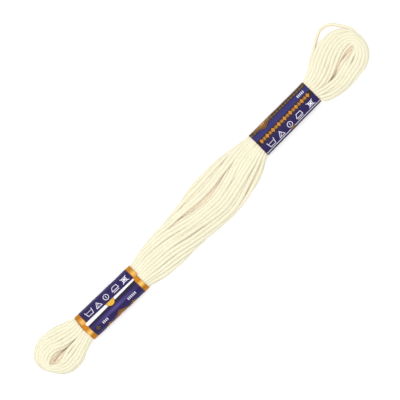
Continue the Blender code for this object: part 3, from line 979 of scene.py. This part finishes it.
def uv_fields(tree, name):
    place = tree.nodes.new("ShaderNodeUVMap")
    place.uv_map = name
    split = tree.nodes.new("ShaderNodeSeparateXYZ")
    tree.links.new(place.outputs["UV"], split.inputs["Vector"])
    return Field(tree, split.outputs["X"]), Field(tree, split.outputs["Y"])


def material_named(name):
    material = bpy.data.materials.new(name)
    material.use_nodes = True
    return material, material.node_tree, material.node_tree.nodes["Principled BSDF"]


def noise(tree, scale, detail):
    """Noise through the object's space, with so many waves in a metre."""
    node = tree.nodes.new("ShaderNodeTexNoise")
    node.inputs["Scale"].default_value = scale
    node.inputs["Detail"].default_value = detail
    place = tree.nodes.new("ShaderNodeTexCoord")
    tree.links.new(place.outputs["Object"], node.inputs["Vector"])
    return Field(tree, node.outputs["Fac"])


def raise_relief(tree, shader, height, distance, strength):
    """Relief from a height field: distance is how many millimetres a height of 1 stands up."""
    bump = tree.nodes.new("ShaderNodeBump")
    bump.inputs["Distance"].default_value = distance * MM
    bump.inputs["Strength"].default_value = strength
    tree.links.new(height.socket, bump.inputs["Height"])
    tree.links.new(bump.outputs["Normal"], shader.inputs["Normal"])


def grain(tree, shader, least_roughness):
    """The fine unevenness of paper, in its relief and its gloss."""
    uneven = noise(tree, 1800.0, 3.0)
    raise_relief(tree, shader, uneven, 0.03, 0.4)
    tree.links.new((uneven * 0.3 + least_roughness).socket, shader.inputs["Roughness"])


def print_material(name, design, girth):
    """Coated paper with the design printed on it, and painted highlights and sheen laid in with the print.
    """
    material, tree, shader = material_named(name)
    along, around = uv_fields(tree, "print")
    sheet = Print(tree)
    design(sheet, along, around, girth)
    tree.links.new(sheet.colour, shader.inputs["Base Color"])
    tree.links.new(sheet.foil.socket, shader.inputs["Metallic"])
    grain(tree, shader, 0.35)
    shader.inputs["Specular IOR Level"].default_value = 0.2
    return material


def paper_material():
    material, tree, shader = material_named("bare_paper")
    shader.inputs["Base Color"].default_value = (0.88, 0.87, 0.86, 1)
    grain(tree, shader, 0.65)
    return material


def openness(tree, reach):
    """How open the surface is within this many millimetres: 1 where nothing stands near."""
    node = tree.nodes.new("ShaderNodeAmbientOcclusion")
    node.inputs["Distance"].default_value = reach * MM
    node.samples = 8
    return Field(tree, node.outputs["AO"])


def blended(tree, share, first, second):
    """A colour that goes from the first to the second as the share goes from 0 to 1."""
    mix = tree.nodes.new("ShaderNodeMix")
    mix.data_type = "RGBA"
    tree.links.new(share.socket, mix.inputs["Factor"])
    for plug, colour in ((mix.inputs["A"], first), (mix.inputs["B"], second)):
        if isinstance(colour, tuple):
            plug.default_value = (*colour, 1)
        else:
            tree.links.new(colour, plug)
    return mix.outputs["Result"]


def floss_material():
    """Mercerised cotton: six strands, each plied the other way, with painted shade in the valleys between
    its strands, painted bounce light where another thread lies close by, and painted warm shade deep in a
    hollow.
    """
    material, tree, shader = material_named("cream_cotton")
    turn, length = uv_fields(tree, "thread")
    valley = ((turn * STRANDS - 2 / 3).repeated(1.0).size() * (-1 / VALLEY) + 1.0).clamped()
    ply = (length * (1 / PLY_PITCH) - turn * STRANDS).repeated(1.0).size() * 2.0
    near, far = openness(tree, NEAR_REACH), openness(tree, FAR_REACH)
    # painted warm shade: where the surface lies deep in a hollow, the colour goes towards pinkish tan
    painted_hollow_shade = (far * -2.8 + 1.9).clamped() * near
    uneven = (noise(tree, 220.0, 1.0) * 3.0 - 1.0).clamped()
    colour = blended(tree, uneven, COTTON, DULLER_COTTON)
    # painted shade: the colour is darkened and warmed in the valleys between the strands
    colour = blended(tree, valley * 0.7, colour, PAINTED_VALLEY_SHADE)
    # painted bounce light: the colour is lightened and warmed where another thread lies close by
    colour = blended(tree, near, PAINTED_BOUNCE_LIGHT, colour)
    # the painted warm shade laid into the colour deep in hollows
    colour = blended(tree, painted_hollow_shade, colour, PAINTED_HOLLOW_SHADE)
    tree.links.new(colour, shader.inputs["Base Color"])
    raise_relief(tree, shader, ply * 0.6 - valley, 0.06, 0.6)
    shader.inputs["Roughness"].default_value = 0.55
    shader.inputs["Specular IOR Level"].default_value = 0.3
    shader.inputs["Sheen Weight"].default_value = 0.2
    return material


def make_floor():
    bpy.ops.mesh.primitive_plane_add(size=FLOOR_SIZE, location=(0, 0, 0))
    floor = bpy.context.object
    floor.name = "floor"
    white, _, shader = material_named("floor_white")
    shader.inputs["Base Color"].default_value = (FLOOR_GREY, FLOOR_GREY, FLOOR_GREY, 1)
    shader.inputs["Emission Color"].default_value = (1, 1, 1, 1)
    shader.inputs["Emission Strength"].default_value = FLOOR_GLOW
    floor.data.materials.append(white)


def make_light():
    world = bpy.data.worlds.new("studio")
    world.use_nodes = True
    background = world.node_tree.nodes["Background"]
    background.inputs["Color"].default_value = (1, 1, 1, 1)
    background.inputs["Strength"].default_value = SKY_STRENGTH
    bpy.context.scene.world = world
    light = bpy.data.lights.new("window", "AREA")
    light.size = WINDOW_SIZE
    light.energy = WINDOW_POWER
    item = bpy.data.objects.new("window", light)
    item.location = WINDOW_PLACE
    item.rotation_euler = WINDOW_TILT
    bpy.context.scene.collection.objects.link(item)


def make_camera():
    scene = bpy.context.scene
    camera = bpy.data.cameras.new("camera")
    camera.lens = LENS
    camera.clip_start = 0.01
    item = bpy.data.objects.new("camera", camera)
    item.location = (*VIEW_CENTRE, VIEW_WIDTH / camera.sensor_width * LENS + VIEW_LEVEL)
    item.rotation_euler = (0, 0, math.radians(VIEW_TURN))
    scene.collection.objects.link(item)
    scene.camera = item
    scene.view_settings.view_transform = "Standard"


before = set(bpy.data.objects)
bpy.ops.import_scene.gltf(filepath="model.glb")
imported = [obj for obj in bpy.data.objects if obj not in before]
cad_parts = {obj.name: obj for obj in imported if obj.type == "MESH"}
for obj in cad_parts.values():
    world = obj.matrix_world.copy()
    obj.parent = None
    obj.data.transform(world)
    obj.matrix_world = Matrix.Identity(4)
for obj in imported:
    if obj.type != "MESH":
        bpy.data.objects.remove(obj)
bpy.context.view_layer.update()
make_floor()
make_light()
make_camera()
floss = floss_material()
for piece in make_thread():
    piece.data.materials.append(floss)
    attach(piece, "root")
    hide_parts("floss_hank")
for band, design in zip(BANDS, (printed_lower, printed_upper)):
    piece, strip_length = make_band(band, design)
    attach(piece, "root")
    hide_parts(band.name)
    width = (band.high_x - band.low_x) * MM
    strip_length * MM
